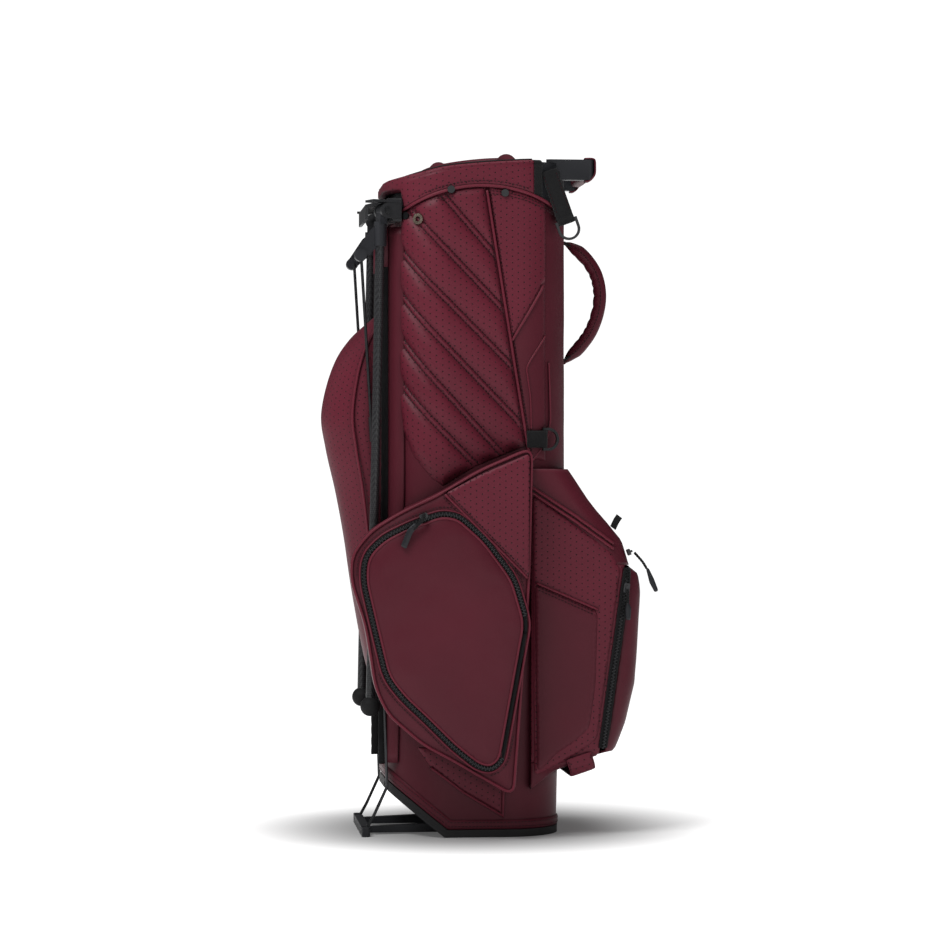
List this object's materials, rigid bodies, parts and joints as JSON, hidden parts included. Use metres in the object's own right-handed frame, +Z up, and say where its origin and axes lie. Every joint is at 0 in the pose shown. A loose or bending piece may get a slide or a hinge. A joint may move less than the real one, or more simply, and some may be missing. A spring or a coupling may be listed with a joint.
{
  "type": "golf stand bag",
  "caption": "Leather golf stand bag with hip pad, fold-out legs, side and ball pockets, grab handle and carry handle.",
  "frame": {"origin": "on the ground under the centre of the bag's tube", "axes": "+Z up along the tube, +X towards the spine, ball pocket and carry handle, -X towards the legs"},
  "size_m": [0.4388, 0.3516, 0.905],
  "materials": {
    "leather": "satin",
    "leather_perforated": "satin",
    "padded_leather": "satin",
    "webbing": "matte",
    "zip_tape": "matte",
    "moulded_plastic": "satin",
    "boot_plastic": "matte",
    "bracket_plastic": "satin",
    "zip_metal": "satin",
    "black_steel": "satin",
    "pin_steel": "satin",
    "nickel": "satin",
    "carbon": "satin",
    "rubber": "matte",
    "lining": "matte"
  },
  "bodies": {
    "bag": {"base_boot": "boot_plastic", "body_shell": "leather", "bottom_hem": "leather", "collar_frame": "moulded_plastic", "grab_handle_wrap": "leather", "collar_cuff": "leather_perforated", "cuff_binding": "webbing", "divider_bars": "padded_leather", "divider_panels": "lining", "stay_rods": "carbon", "collar_rivets": "black_steel", "snap_eyelets": "nickel", "hip_pad": "padded_leather", "edge_strips": "webbing", "ball_pocket_body": "leather", "ball_zip": "zip_tape", "top_slider": "zip_metal", "ribbon_tabs": "webbing", "lift_handle": "leather_perforated", "handle_anchors": "webbing", "spine_tabs": "webbing", "foot_hinge_pins": "pin_steel", "leg_bracket": "bracket_plastic", "bracket_pins": "black_steel", "side_panels": "padded_leather", "front_panels": "leather_perforated", "pocket_zips": "zip_tape", "slip_pockets": "leather", "upper_webbing": "webbing", "mid_webbing": "webbing", "near_pocket_body": "leather", "far_pocket_body": "leather"},
    "carry_handle": {"carry_handle": "padded_leather", "handle_webbing": "webbing"},
    "ball_door": {"ball_pocket_door": "leather"},
    "ball_slider": {"ball_slider": "zip_metal"},
    "ball_slider_pull": {"ball_slider_pull": "rubber"},
    "top_slider_pull": {"top_slider_pull": "rubber"},
    "foot": {"foot_plate": "moulded_plastic"},
    "wires": {"wire_lower": "black_steel"},
    "near_leg": {"near_leg_head": "moulded_plastic", "near_leg_tube": "carbon", "near_leg_foot": "rubber"},
    "near_wire": {"near_wire_upper": "black_steel"},
    "near_lid": {"near_pocket_lid": "padded_leather"},
    "near_zip_slider": {"near_zip_slider": "zip_metal"},
    "near_zip_pull": {"near_zip_pull": "rubber"},
    "near_upper_ring": {"near_upper_ring": "black_steel"},
    "near_mid_ring": {"near_mid_ring": "black_steel"},
    "far_leg": {"far_leg_head": "moulded_plastic", "far_leg_tube": "carbon", "far_leg_foot": "rubber"},
    "far_wire": {"far_wire_upper": "black_steel"},
    "far_lid": {"far_pocket_lid": "padded_leather"},
    "far_zip_slider": {"far_zip_slider": "zip_metal"},
    "far_zip_pull": {"far_zip_pull": "rubber"},
    "far_upper_ring": {"far_upper_ring": "black_steel"},
    "far_mid_ring": {"far_mid_ring": "black_steel"}
  },
  "joints": [
    {"name": "stand_foot_hinge", "type": "hinge", "parent": "bag", "child": "foot", "pos_m": [-0.045, 0, 0.008], "axis": [0, 1, 0], "range_deg": [0, 33]},
    {"name": "near_leg_hinge", "type": "hinge", "parent": "bag", "child": "near_leg", "pos_m": [-0.1286, -0.085, 0.82], "axis": [-0.3907, 0.9205, 0], "range_deg": [0, 41]},
    {"name": "far_leg_hinge", "type": "hinge", "parent": "bag", "child": "far_leg", "pos_m": [-0.1286, 0.085, 0.82], "axis": [0.3907, 0.9205, 0], "range_deg": [0, 41]},
    {"name": "wire_foot_hinge", "type": "hinge", "parent": "foot", "child": "wires", "pos_m": [-0.152, 0, 0.007], "axis": [0, 1, 0], "range_deg": [-50, 0], "deforming": ["wire_lower"]},
    {"name": "near_wire_bow", "type": "hinge", "parent": "wires", "child": "near_wire", "pos_m": [-0.143, -0.072, 0.516], "axis": [0.0813, 0.9967, 0.005], "range_deg": [0, 39.5], "deforming": ["near_wire_upper"]},
    {"name": "far_wire_bow", "type": "hinge", "parent": "wires", "child": "far_wire", "pos_m": [-0.143, 0.072, 0.516], "axis": [-0.0813, 0.9967, -0.005], "range_deg": [0, 39.5], "deforming": ["far_wire_upper"]},
    {"name": "carry_handle_swing", "type": "hinge", "parent": "bag", "child": "carry_handle", "pos_m": [0.1184, 0, 0.708], "axis": [0, 0, 1], "range_deg": [-40, 40]},
    {"name": "near_upper_ring_swing", "type": "hinge", "parent": "bag", "child": "near_upper_ring", "pos_m": [0.1102, -0.098, 0.8082], "axis": [-0.9414, 0, -0.3372], "range_deg": [-15, 70]},
    {"name": "near_mid_ring_swing", "type": "hinge", "parent": "bag", "child": "near_mid_ring", "pos_m": [0.0805, -0.1022, 0.521], "axis": [0, 0, -1], "range_deg": [-12, 90]},
    {"name": "near_lid_hinge", "type": "hinge", "parent": "bag", "child": "near_lid", "pos_m": [0.0465, -0.1655, 0.283], "axis": [0.1798, 0, 0.9837], "range_deg": [0, 70]},
    {"name": "near_slider_travel", "type": "slide", "parent": "near_lid", "child": "near_zip_slider", "axis": [-0.9207, 0, -0.3903], "range_m": [0, 0.045]},
    {"name": "near_pull_swing", "type": "hinge", "parent": "near_zip_slider", "child": "near_zip_pull", "pos_m": [-0.084, -0.1715, 0.422], "axis": [0, 1, 0], "range_deg": [-40, 30]},
    {"name": "far_upper_ring_swing", "type": "hinge", "parent": "bag", "child": "far_upper_ring", "pos_m": [0.1102, 0.098, 0.8082], "axis": [0.9414, 0, 0.3372], "range_deg": [-15, 70]},
    {"name": "far_mid_ring_swing", "type": "hinge", "parent": "bag", "child": "far_mid_ring", "pos_m": [0.0805, 0.1022, 0.521], "axis": [0, 0, 1], "range_deg": [-12, 90]},
    {"name": "far_lid_hinge", "type": "hinge", "parent": "bag", "child": "far_lid", "pos_m": [0.0465, 0.1655, 0.283], "axis": [-0.1798, 0, -0.9837], "range_deg": [0, 70]},
    {"name": "far_slider_travel", "type": "slide", "parent": "far_lid", "child": "far_zip_slider", "axis": [-0.9207, 0, -0.3903], "range_m": [0, 0.045]},
    {"name": "far_pull_swing", "type": "hinge", "parent": "far_zip_slider", "child": "far_zip_pull", "pos_m": [-0.084, 0.1715, 0.422], "axis": [0, 1, 0], "range_deg": [-40, 30]},
    {"name": "ball_door_hinge", "type": "hinge", "parent": "bag", "child": "ball_door", "pos_m": [0.161, 0, 0.1062], "axis": [0, 1, 0], "range_deg": [0, 60]},
    {"name": "ball_slider_travel", "type": "slide", "parent": "bag", "child": "ball_slider", "axis": [-0.139, 0, -0.9903], "range_m": [0, 0.19]},
    {"name": "ball_pull_swing", "type": "hinge", "parent": "ball_slider", "child": "ball_slider_pull", "pos_m": [0.1885, -0.1185, 0.326], "axis": [-1, 0, 0], "range_deg": [0, 80]},
    {"name": "top_pull_swing", "type": "hinge", "parent": "bag", "child": "top_slider_pull", "pos_m": [0.2004, -0.092, 0.372], "axis": [0, 1, 0], "range_deg": [-60, 12]}
  ],
  "couplings": [
    {"joint": "near_leg_hinge", "follows": "stand_foot_hinge", "ratio": 1.2121},
    {"joint": "far_leg_hinge", "follows": "stand_foot_hinge", "ratio": 1.2121},
    {"joint": "wire_foot_hinge", "follows": "stand_foot_hinge", "ratio": -1.4879},
    {"joint": "near_wire_bow", "follows": "stand_foot_hinge", "ratio": 1.1728},
    {"joint": "far_wire_bow", "follows": "stand_foot_hinge", "ratio": 1.1728}
  ]
}
